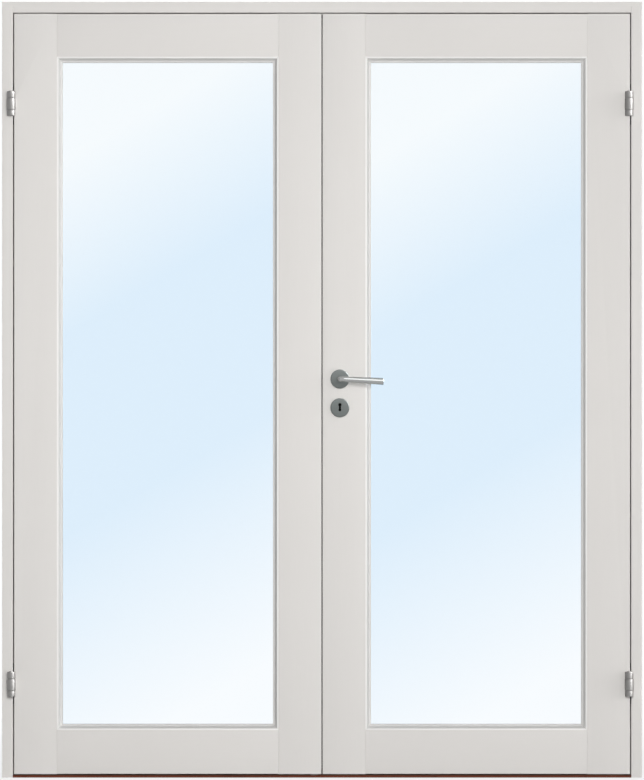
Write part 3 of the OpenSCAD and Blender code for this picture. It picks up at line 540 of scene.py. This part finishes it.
for side in ("left", "right"):
    soften(side + "_jamb", paint_upright, "frame")
    for stile in ("_hinge_stile", "_meeting_stile"):
        soften(side + stile, paint_upright, side + "_leaf")
    for rail in ("_top_rail", "_bottom_rail"):
        soften(side + rail, paint_level, side + "_leaf")
soften("frame_head", paint_level, "frame")
soften("threshold", hardwood, "frame", "oiled_hardwood")

# %% [markdown]
# ## Glazing beads
#
# Mitred beads hold each pane on both faces: a narrow land level with the leaf, a steep slope, and a
# cove down to the glass. The plane leaves their long edges a hair round. A Bevel modifier would
# round the mitres too and open a gap there, so only the long sharp edges are picked, and rounded
# with the bevel tool.

# %% Beads
LONG_EDGE = 0.4
BEAD_ROUND = 0.35 * MM
SHARP_TURN = math.radians(50)


def pick_long_sharp(piece):
    """Selects the long sharp edges, and stays in edit mode."""
    take(piece)
    bpy.ops.object.mode_set(mode="EDIT")
    bpy.ops.mesh.select_mode(type="EDGE")
    bpy.ops.mesh.select_all(action="DESELECT")
    bpy.ops.mesh.edges_select_sharp(sharpness=SHARP_TURN)
    bpy.ops.object.mode_set(mode="OBJECT")
    points = piece.data.vertices
    for edge in piece.data.edges:
        length = (points[edge.vertices[0]].co - points[edge.vertices[1]].co).length
        edge.select = edge.select and length > LONG_EDGE
    bpy.ops.object.mode_set(mode="EDIT")


for side in ("left", "right"):
    for face in ("_front_beads", "_rear_beads"):
        node = side + face
        piece = copy_of(node)
        pick_long_sharp(piece)
        bpy.ops.mesh.bevel(offset=BEAD_ROUND, segments=2, affect="EDGES", clamp_overlap=True)
        finished(piece, "soft_" + node, paint_bead_with_painted_shade, side + "_leaf", "white_paint", node)
        print(node, "rounded,", len(piece.data.polygons), "faces")

# %% [markdown]
# ## Rose and escutcheon
#
# Both are turned discs of satin steel with a rounded rim: one lets the lever's neck through, the
# other has the keyhole. They could be spun from a profile, but a cylinder at the right size and
# place is quicker and just as round. The rose's bore is made by insetting its two faces and bridging
# the rings. Faces and edges are picked by where they lie, and the rim is rounded with the bevel tool.


# %% Pick faces and edges
def pick_in(piece, kind, items, test):
    """Selects the faces or edges that pass a test, and stays in edit mode."""
    take(piece)
    bpy.ops.object.mode_set(mode="EDIT")
    bpy.ops.mesh.select_mode(type=kind)
    bpy.ops.mesh.select_all(action="DESELECT")
    bpy.ops.object.mode_set(mode="OBJECT")
    for item in items:
        item.select = test(item)
    bpy.ops.object.mode_set(mode="EDIT")


def pick_faces(piece, test):
    """Picks the faces whose normal passes the test."""
    pick_in(piece, "FACE", piece.data.polygons, lambda face: test(face.normal))


def pick_edges(piece, test):
    """Picks the edges whose two ends pass the test."""
    points = piece.data.vertices
    pick_in(piece, "EDGE", piece.data.edges, lambda e: all(test(points[i].co) for i in e.vertices))


# %% Turned discs
RIM_ROUND = 2.4 * MM
NECK_ROOM = 7.3 * MM
ON_PLANE = 0.01 * MM
NEAR_RIM = 0.99
FACING = 0.9
TO_FRONT = (math.radians(90), 0, 0)


def turned_disc(node, bore=None):
    """A disc with a rounded rim in the place of a packed one, with its centre and radius."""
    low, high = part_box(node)
    centre, radius = (low + high) / 2, (high.x - low.x) / 2
    outer_y = low.y if node.startswith("front") else high.y
    clear_bench()
    bpy.ops.mesh.primitive_cylinder_add(
        vertices=96, radius=radius, depth=high.y - low.y, location=centre, rotation=TO_FRONT
    )
    piece = bpy.context.view_layer.objects.active
    bpy.ops.object.transform_apply(location=True, rotation=True, scale=True)
    if bore:
        pick_faces(piece, lambda normal: abs(normal.y) > FACING)
        bpy.ops.mesh.inset(thickness=radius - bore)
        bpy.ops.mesh.bridge_edge_loops()

    def on_rim(point):
        out = math.hypot(point.x - centre.x, point.z - centre.z)
        return abs(point.y - outer_y) < ON_PLANE and out > NEAR_RIM * radius

    pick_edges(piece, on_rim)
    bpy.ops.mesh.bevel(offset=RIM_ROUND, segments=6, affect="EDGES")
    bpy.ops.object.mode_set(mode="OBJECT")
    return piece, centre, radius


# %% Roses
for face in ("front", "rear"):
    node = face + "_rose"
    piece, centre, radius = turned_disc(node, NECK_ROOM)
    finished(piece, "turned_" + node, rose_steel, "right_leaf", "satin_steel", node)
    print(face, "rose turned,", len(piece.data.polygons), "faces")

# %% [markdown]
# The keyhole is a round hole over a slot with a round foot. Insets can't draw that outline, so two
# cylinders and a box, each longer than the disc is thick, are cut out of it by Boolean modifiers.
# These are applied before the cutters are deleted.

# %% Keyhole cutters
KEY_RISE = 8 * MM
KEY_R = 4.3 * MM
SLOT_W = 5.6 * MM
SLOT_DROP = 14 * MM
FOOT_R = 3.8 * MM


def cut_away(piece, cutter):
    """Cuts one object out of another and deletes the cutter."""
    take(piece)
    cut = piece.modifiers.new("cut", "BOOLEAN")
    cut.object = cutter
    cut.operation = "DIFFERENCE"
    bpy.ops.object.modifier_apply(modifier=cut.name)
    take(cutter)
    bpy.ops.object.delete()


# %% Escutcheons
for face in ("front", "rear"):
    node = face + "_escutcheon"
    piece, centre, radius = turned_disc(node)
    top = centre + Vector((0, 0, KEY_RISE))
    for drop, hole_r in ((0, KEY_R), (SLOT_DROP, FOOT_R)):
        clear_bench()
        bpy.ops.mesh.primitive_cylinder_add(
            vertices=48,
            radius=hole_r,
            depth=radius,
            location=top - Vector((0, 0, drop)),
            rotation=TO_FRONT,
        )
        cut_away(piece, bpy.context.view_layer.objects.active)
    clear_bench()
    bpy.ops.mesh.primitive_cube_add(size=1, location=top - Vector((0, 0, SLOT_DROP / 2)))
    bpy.ops.transform.resize(value=(SLOT_W, radius, SLOT_DROP))
    cut_away(piece, bpy.context.view_layer.objects.active)
    finished(piece, "turned_" + node, rose_steel, "right_leaf", "satin_steel", node)
    print(face, "escutcheon cut,", len(piece.data.polygons), "faces")

# %% [markdown]
# ## Lever
#
# The lever is one bar of steel: a round neck out of the rose, a quarter bend, and an arm that swells
# a little towards its tip, with a fine groove behind the cap. A swept curve would do for the bar,
# but not for the groove. So a filled circle is drawn out along the neck, spun round the bend, and
# drawn out again along the arm, with a resize at each station. With no window the spin turns the
# other way, so its angle is negative. Last the lever is tilted by its droop.

# %% Lever sizes
NECK_R = 7.25 * MM
TIP_R = 9.48 * MM
NECK_IN = 2 * MM
REACH = 48 * MM
BEND_R = 15 * MM
LEVER_LEN = 117 * MM
GROOVE_AT = 113.2 * MM
GROOVE_W = 0.8 * MM
GROOVE_DEEP = 0.7 * MM
TIP_ROUND = 0.9 * MM
DROOP = math.radians(3.2)
QUARTER = math.radians(-90)
spindle_low, spindle_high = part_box("lever_spindle")
axis = (spindle_low + spindle_high) / 2
face_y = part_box("front_rose")[1].y
print("spindle at", [round(v / MM, 2) for v in axis], "mm")


# %% Draw the front lever
def draw_out(step, swell=1.0):
    """Extrudes the selected face along the arm, then resizes it about the arm's own line."""
    bpy.ops.mesh.extrude_region_move(TRANSFORM_OT_translate={"value": (step, 0, 0)})
    arm_line = (axis.x, face_y - REACH, axis.z)
    bpy.ops.transform.resize(value=(1, swell, swell), center_override=arm_line)


clear_bench()
bpy.ops.mesh.primitive_circle_add(
    vertices=64,
    radius=NECK_R,
    fill_type="NGON",
    location=(axis.x, face_y + NECK_IN, axis.z),
    rotation=TO_FRONT,
)
lever = bpy.context.view_layer.objects.active
bpy.ops.object.transform_apply(location=True, rotation=True, scale=True)
bpy.ops.object.mode_set(mode="EDIT")
bpy.ops.mesh.select_mode(type="FACE")
bpy.ops.mesh.select_all(action="SELECT")
neck = NECK_IN + REACH - BEND_R
bpy.ops.mesh.extrude_region_move(TRANSFORM_OT_translate={"value": (0, -neck, 0)})
bend_centre = (axis.x + BEND_R, face_y - REACH + BEND_R, axis.z)
bpy.ops.mesh.spin(steps=16, angle=QUARTER, center=bend_centre, axis=(0, 0, 1))
draw_out(GROOVE_AT - BEND_R, TIP_R / NECK_R)
draw_out(0, 1 - GROOVE_DEEP / TIP_R)
draw_out(GROOVE_W)
draw_out(0, TIP_R / (TIP_R - GROOVE_DEEP))
draw_out(LEVER_LEN - GROOVE_AT - GROOVE_W)
bpy.ops.mesh.bevel(offset=TIP_ROUND, segments=4, affect="EDGES")
bpy.ops.mesh.select_all(action="SELECT")
bpy.ops.mesh.normals_make_consistent(inside=False)
tilt_centre = (axis.x, face_y, axis.z)
bpy.ops.transform.rotate(value=-DROOP, orient_axis="Y", center_override=tilt_centre)
bpy.ops.object.mode_set(mode="OBJECT")
for name, box in (
    ("drawn", (lever.bound_box[0], lever.bound_box[6])),
    ("packed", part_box("front_lever")),
):
    print(name, "lever box", [[round(v / MM, 2) for v in corner] for corner in box], "mm")

# %% [markdown]
# The rear lever is the front one mirrored through the middle of the leaf. A mirror turns a mesh
# inside out, so its normals are recalculated.

# %% Mirror the rear lever
take(lever)
bpy.ops.object.duplicate()
rear_lever = bpy.context.view_layer.objects.active
bpy.ops.object.mode_set(mode="EDIT")
bpy.ops.mesh.select_all(action="SELECT")
bpy.ops.transform.resize(value=(1, -1, 1), center_override=(axis.x, axis.y, axis.z))
bpy.ops.mesh.normals_make_consistent(inside=False)
bpy.ops.object.mode_set(mode="OBJECT")
finished(lever, "drawn_front_lever", lever_steel, "handle", "lever_steel", "front_lever")
finished(rear_lever, "drawn_rear_lever", lever_steel, "handle", "lever_steel", "rear_lever")
print("levers drawn,", len(lever.data.polygons), "faces each")

# %% [markdown]
# ## Hinges
#
# Each hinge has two plates let into the edges of leaf and jamb, three knuckles and a pin. The packed
# hinges have the right form, down to the rounded rims that make each knuckle read as a separate
# ring, but their meshes are loose triangles. Modelled anew they would gain nothing. Each is copied,
# merged and smoothed, so that the light runs evenly round the barrel.

# %% Knuckles
for side in ("left", "right"):
    for level in ("_upper", "_lower"):
        for plate, body in (("_frame_hinge", "frame"), ("_leaf_hinge", side + "_leaf")):
            node = side + level + plate
            finished(copy_of(node), "soft_" + node, hinge_steel, body, "hinge_steel", node)
print("eight hinge plates with smooth knuckles")

# %% [markdown]
# The pin is a plain rod with a low domed head that sits on the top knuckle. A sphere would stand too
# high for that head. So a cylinder is added at each hinge, its top face is widened to the head's
# underside and drawn up, and the head's edge is rounded.

# %% Hinge pins
PIN_R = 3.5 * MM
PIN_HEAD_R = 6.5 * MM
PIN_HEAD_H = 1.4 * MM
PIN_DOME = 0.8 * PIN_HEAD_H


def add_pin(x, y, foot, top):
    """One pin from its foot to the top of its head."""
    clear_bench()
    under_head = top - PIN_HEAD_H
    shank = under_head - foot
    bpy.ops.mesh.primitive_cylinder_add(
        vertices=48, radius=PIN_R, depth=shank, location=(x, y, foot + shank / 2)
    )
    pin = bpy.context.view_layer.objects.active
    bpy.ops.object.transform_apply(location=True, rotation=True, scale=True)
    pick_faces(pin, lambda normal: normal.z > FACING)
    bpy.ops.mesh.extrude_region_move(TRANSFORM_OT_translate={"value": (0, 0, 0)})
    widen = PIN_HEAD_R / PIN_R
    bpy.ops.transform.resize(value=(widen, widen, 1), center_override=(x, y, under_head))
    bpy.ops.mesh.extrude_region_move(TRANSFORM_OT_translate={"value": (0, 0, PIN_HEAD_H)})
    bpy.ops.mesh.bevel(offset=PIN_DOME, segments=4, affect="EDGES")
    bpy.ops.object.mode_set(mode="OBJECT")
    return pin


for side in ("left", "right"):
    node = side + "_hinge_pins"
    low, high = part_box(node)
    upper_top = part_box(side + "_upper_frame_hinge")[1].z
    pitch = upper_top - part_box(side + "_lower_frame_hinge")[1].z
    height = high.z - low.z - pitch
    x, y = (low.x + high.x) / 2, (low.y + high.y) / 2
    upper = add_pin(x, y, low.z + pitch, high.z)
    lower = add_pin(x, y, low.z, low.z + height)
    take(upper)
    lower.select_set(True)
    bpy.ops.object.join()
    finished(upper, "domed_" + node, hinge_steel, "frame", "hinge_steel", node)
    print(node, "are", round(height / MM, 1), "mm long")

# %% [markdown]
# ## Screws
#
# Countersunk screws with a cross slot hold every plate. One is modelled at the origin for each
# length: a cone for the head, drawn out into a shank and a point, with two crossed boxes cut into
# the top. The thread is always inside the wood, so it is left out.

# %% Model one screw
SCREW_R = 2.2 * MM
SCREW_HEAD_R = 4.3 * MM
SCREW_HEAD_H = 2 * MM
POINT = 5 * MM
POINT_SHARE = 0.1
CROSS_SLOT = (0.9 * MM, 4.8 * MM, 2.4 * MM)


def model_screw(length):
    """A screw along -z with its head's face on z = 0."""
    clear_bench()
    bpy.ops.mesh.primitive_cone_add(
        vertices=32,
        radius1=SCREW_R,
        radius2=SCREW_HEAD_R,
        depth=SCREW_HEAD_H,
        location=(0, 0, -SCREW_HEAD_H / 2),
    )
    screw = bpy.context.view_layer.objects.active
    bpy.ops.object.transform_apply(location=True, rotation=True, scale=True)
    pick_faces(screw, lambda normal: normal.z < -FACING)
    for step in (length - SCREW_HEAD_H - POINT, POINT):
        bpy.ops.mesh.extrude_region_move(TRANSFORM_OT_translate={"value": (0, 0, -step)})
    tip = (0, 0, -length)
    bpy.ops.transform.resize(value=(POINT_SHARE, POINT_SHARE, 1), center_override=tip)
    bpy.ops.object.mode_set(mode="OBJECT")
    for turn in (0, 90):
        clear_bench()
        bpy.ops.mesh.primitive_cube_add(size=1, rotation=(0, 0, math.radians(turn)))
        bpy.ops.transform.resize(value=CROSS_SLOT, orient_type="LOCAL")
        cut_away(screw, bpy.context.view_layer.objects.active)
    return screw


# %% [markdown]
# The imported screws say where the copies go. Each packed screw is one island of its node's mesh. The
# longest side of the island's box is the screw's axis, and its wide end is where the head is.


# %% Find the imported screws
def end_reach(points, end, way):
    """How far a screw's mesh reaches out from its centre line at one end."""
    return max((p - end).length for p in points if abs(p[way] - end[way]) < ON_PLANE)


def centre_lines(node):
    """The ends of each packed screw's centre line: the middle of its head's face, and its point."""
    take(copy_of(node))
    bpy.ops.object.mode_set(mode="EDIT")
    bpy.ops.mesh.select_all(action="SELECT")
    bpy.ops.mesh.separate(type="LOOSE")
    bpy.ops.object.mode_set(mode="OBJECT")
    lines = []
    for part in list(bpy.context.selected_objects):
        points = [v.co.copy() for v in part.data.vertices]
        low = Vector(min(p[i] for p in points) for i in range(3))
        high = Vector(max(p[i] for p in points) for i in range(3))
        way = max(range(3), key=lambda i: high[i] - low[i])
        ends = [(low + high) / 2, (low + high) / 2]
        ends[0][way], ends[1][way] = low[way], high[way]
        ends.sort(key=lambda end: end_reach(points, end, way), reverse=True)
        lines.append(ends)
    bpy.ops.object.delete()
    return lines


# %% Set the screws
for node, body in (
    ("frame_screws", "frame"),
    ("left_screws", "left_leaf"),
    ("right_screws", "right_leaf"),
):
    models, copies = {}, []
    for head, point in centre_lines(node):
        length = round((point - head).length, 5)
        if length not in models:
            models[length] = model_screw(length)
        take(models[length])
        bpy.ops.object.duplicate()
        screw = bpy.context.view_layer.objects.active
        screw.rotation_euler = (head - point).to_track_quat("Z", "Y").to_euler()
        screw.location = head
        bpy.ops.object.transform_apply(location=True, rotation=True, scale=True)
        copies.append(screw)
    count = len(copies)
    for model in models.values():
        take(model)
        bpy.ops.object.delete()
    take(copies[0])
    for screw in copies:
        screw.select_set(True)
    bpy.ops.object.join()
    finished(copies[0], "cross_" + node, zinc_steel, body, "zinc_steel", node)
    print(node, "set:", count, "screws of", sorted(models), "m")

# %% [markdown]
# ## What stays as packed
#
# The panes, the rubbers, the dowels and the works of lock and bolts have the right form already, and
# most of them show only when a leaf stands open. Copies would add nothing, so they get their
# finishes as they are.

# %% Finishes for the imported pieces
PACKED = {
    glass: ("left_glass", "right_glass"),
    rubber: (
        "left_glazing_rubber", "right_glazing_rubber", "left_meeting_seal", "right_meeting_seal",
        "head_seal", "threshold_seal", "left_jamb_seal", "right_jamb_seal",
    ),
    beech: ("left_dowels", "right_dowels"),
    zinc_steel: (
        "strike_plate", "lock_forend", "lock_follower", "lever_spindle", "latch_bolt", "dead_bolt",
        "upper_flush_bolt", "lower_flush_bolt", "upper_flush_bolt_case", "lower_flush_bolt_case",
        "head_bolt_keeper", "threshold_bolt_keeper",
    ),
    black_iron: ("lock_case",),
}
for finish, names in PACKED.items():
    for name in names:
        nodes[name].data.materials.clear()
        nodes[name].data.materials.append(finish)
    print(finish.name, "on", len(names), "packed pieces")

# %% [markdown]
# ## Floor and sky
#
# The photograph is a straight view on white. Enough light to make the floor white would wash out the
# paint. So for rays from the eye, from a shiny surface or through glass the sky is plain white, and
# the floor is mostly white near the doors, where it keeps their shadow, and all white further out.
# For all other rays the floor is a pale disc, and the sky lights everything softly.

# %% Floor
FLOOR_R = 6.0
FLOOR_GREY = (0.5, 0.5, 0.5, 1)
WHITE = (1, 1, 1, 1)
WHITE_NEAR = 0.8
MELT_FROM, MELT_TO = 0.9, 2.2


def seen_rays(wire):
    """1 for the rays that should meet plain white, and 0 for those that carry light."""
    eye = wire.node("LightPath", output="Is Camera Ray")
    return eye + eye.beside("Is Glossy Ray") + eye.beside("Is Transmission Ray")


clear_bench()
bpy.ops.mesh.primitive_circle_add(
    vertices=96, radius=FLOOR_R, fill_type="NGON", location=(0, 0, 0)
)
floor = bpy.context.view_layer.objects.active
floor.name = "pale_floor"
floor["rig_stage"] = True
pale, shader, at = new_finish("pale_floor", Base_Color=FLOOR_GREY, Roughness=0.9)
distance = at.node("VectorMath", {"operation": "LENGTH"}, {0: at}, output="Value")
share = WHITE_NEAR + (1 - WHITE_NEAR) * distance.steps(MELT_FROM, MELT_TO)
white = at.node("Emission", None, {"Color": WHITE, "Strength": 1.0})
matt = Wire(shader.outputs["BSDF"])
cover(pale, at.node("MixShader", None, {0: seen_rays(at) * share, 1: matt, 2: white}))
floor.data.materials.append(pale)
print("floor", 2 * FLOOR_R, "m across")

# %% Sky
SKY = 0.20
world = bpy.data.worlds.new("white_studio")
bpy.context.scene.world = world
world.use_nodes = True
sky = world.node_tree.nodes["Background"]
sky.inputs["Color"].default_value = WHITE
sky.inputs["Strength"].default_value = SKY
dim = Wire(sky.outputs["Background"])
bright = dim.node("Background", None, {"Color": WHITE, "Strength": 1.0})
both = dim.node("MixShader", None, {0: seen_rays(dim), 1: dim, 2: bright})
world.node_tree.links.new(both.socket, world.node_tree.nodes["World Output"].inputs["Surface"])
print("sky at", SKY)

# %% [markdown]
# ## Lamps
#
# Soft light comes a little from the right, so the left reveals are light and the right ones dark. A
# near lamp would fade across the doors, so a far, broad window does that, for the paint alone. Two
# cards do the same for the steel: they show only in reflections, and stand over the horizon, so that
# an upright pane doesn't mirror them in a level view. A lamp in front and one behind light the two
# faces. Two narrow strips in the frame's own plane light its outer top and left, which the other
# lamps miss, and the timber itself keeps their light off the reveals.


# %% Lamp helpers
def add_light(kind, name, place, towards, power):
    """A lamp of any kind at a place, with the direction of its light and its power."""
    clear_bench()
    bpy.ops.object.light_add(type=kind, location=place)
    lamp = bpy.context.view_layer.objects.active
    lamp.name = name
    lamp.rotation_euler = Vector(towards).to_track_quat("-Z", "Y").to_euler()
    lamp.data.energy = power
    return lamp


def add_lamp(name, place, target, size, power):
    """A soft box of a given width and height."""
    lamp = add_light("AREA", name, place, Vector(target) - Vector(place), power)
    lamp.data.shape = "RECTANGLE"
    lamp.data.size, lamp.data.size_y = size
    print(name, power, "W at", place)
    return lamp


WINDOW_FAR = 3


def add_window(name, towards, power, width):
    """A far, broad light: the same strength and softness all over the doors."""
    lamp = add_light("SUN", name, -WINDOW_FAR * Vector(towards), towards, power)
    lamp.data.angle = math.radians(width)
    print(name, power, "W per square metre,", width, "degrees wide")
    return lamp


def hide_from(lamp, *rays):
    """Takes a lamp out of the sight of some kinds of ray."""
    for ray in rays:
        setattr(lamp, "visible_" + ray, False)


# %% Hang the lamps
window = add_window("right_window", towards=(-0.978, 0.208, -0.12), power=1.0, width=34)
hide_from(window, "glossy", "transmission")
right_card = add_window("right_card", towards=(-0.803, 0.325, -0.5), power=9.0, width=60)
hide_from(right_card, "diffuse")
high_card = add_window("high_card", towards=(0.0, 0.866, -0.5), power=0.75, width=42)
hide_from(high_card, "diffuse")
front_lamp = add_lamp("front_lamp", (0.1, -4.6, 1.7), (0, 0, 1.05), size=(1.4, 1.4), power=129)
hide_from(front_lamp, "glossy", "transmission")
add_lamp("rear_lamp", (2.2, 5.5, 1.9), (0, 0, 1.2), size=(2.4, 2.2), power=210)
frame_y = (cad_high.y + leaf_high.y) / 2
for name, place, size, power in (
    ("top_strip", (0, frame_y, 3.0), (3.0, 0.04), 7),
    ("left_strip", (-3.4, frame_y, 1.1), (0.04, 2.4), 30),
):
    strip = add_lamp(name, place, (0, frame_y, 1.1), size, power)
    hide_from(strip, "camera", "glossy", "transmission")

# %% [markdown]
# ## Camera
#
# The uprights of the photograph are upright and its two sides look the same, so the camera stands
# square to the doors. A shifted short lens would also keep the lines straight, but it would show more
# of the reveals. A long lens from far away shows as little of them as the photograph does.

# %% Camera
LENS = 200.0
SENSOR = 36.0
VIEW_HEIGHT = 2.0927
VIEW_Z = 1.040
FAR = 100
face_distance = LENS / SENSOR * VIEW_HEIGHT
leaf_face_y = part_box("right_top_rail")[0].y
clear_bench()
bpy.ops.object.camera_add(location=(0, leaf_face_y - face_distance, VIEW_Z), rotation=TO_FRONT)
camera = bpy.context.view_layer.objects.active
camera.data.lens = LENS
camera.data.sensor_width = SENSOR
camera.data.clip_end = FAR
bpy.context.scene.camera = camera
bpy.context.scene.view_settings.view_transform = "Standard"
print("camera", round(face_distance, 3), "m from the leaves")

# %% [markdown]
# ## Measure
#
# The dressed doors have to keep the size of the imported ones, so their box is measured
# here, as the imported box was at the start.

# %% Sizes
low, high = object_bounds()
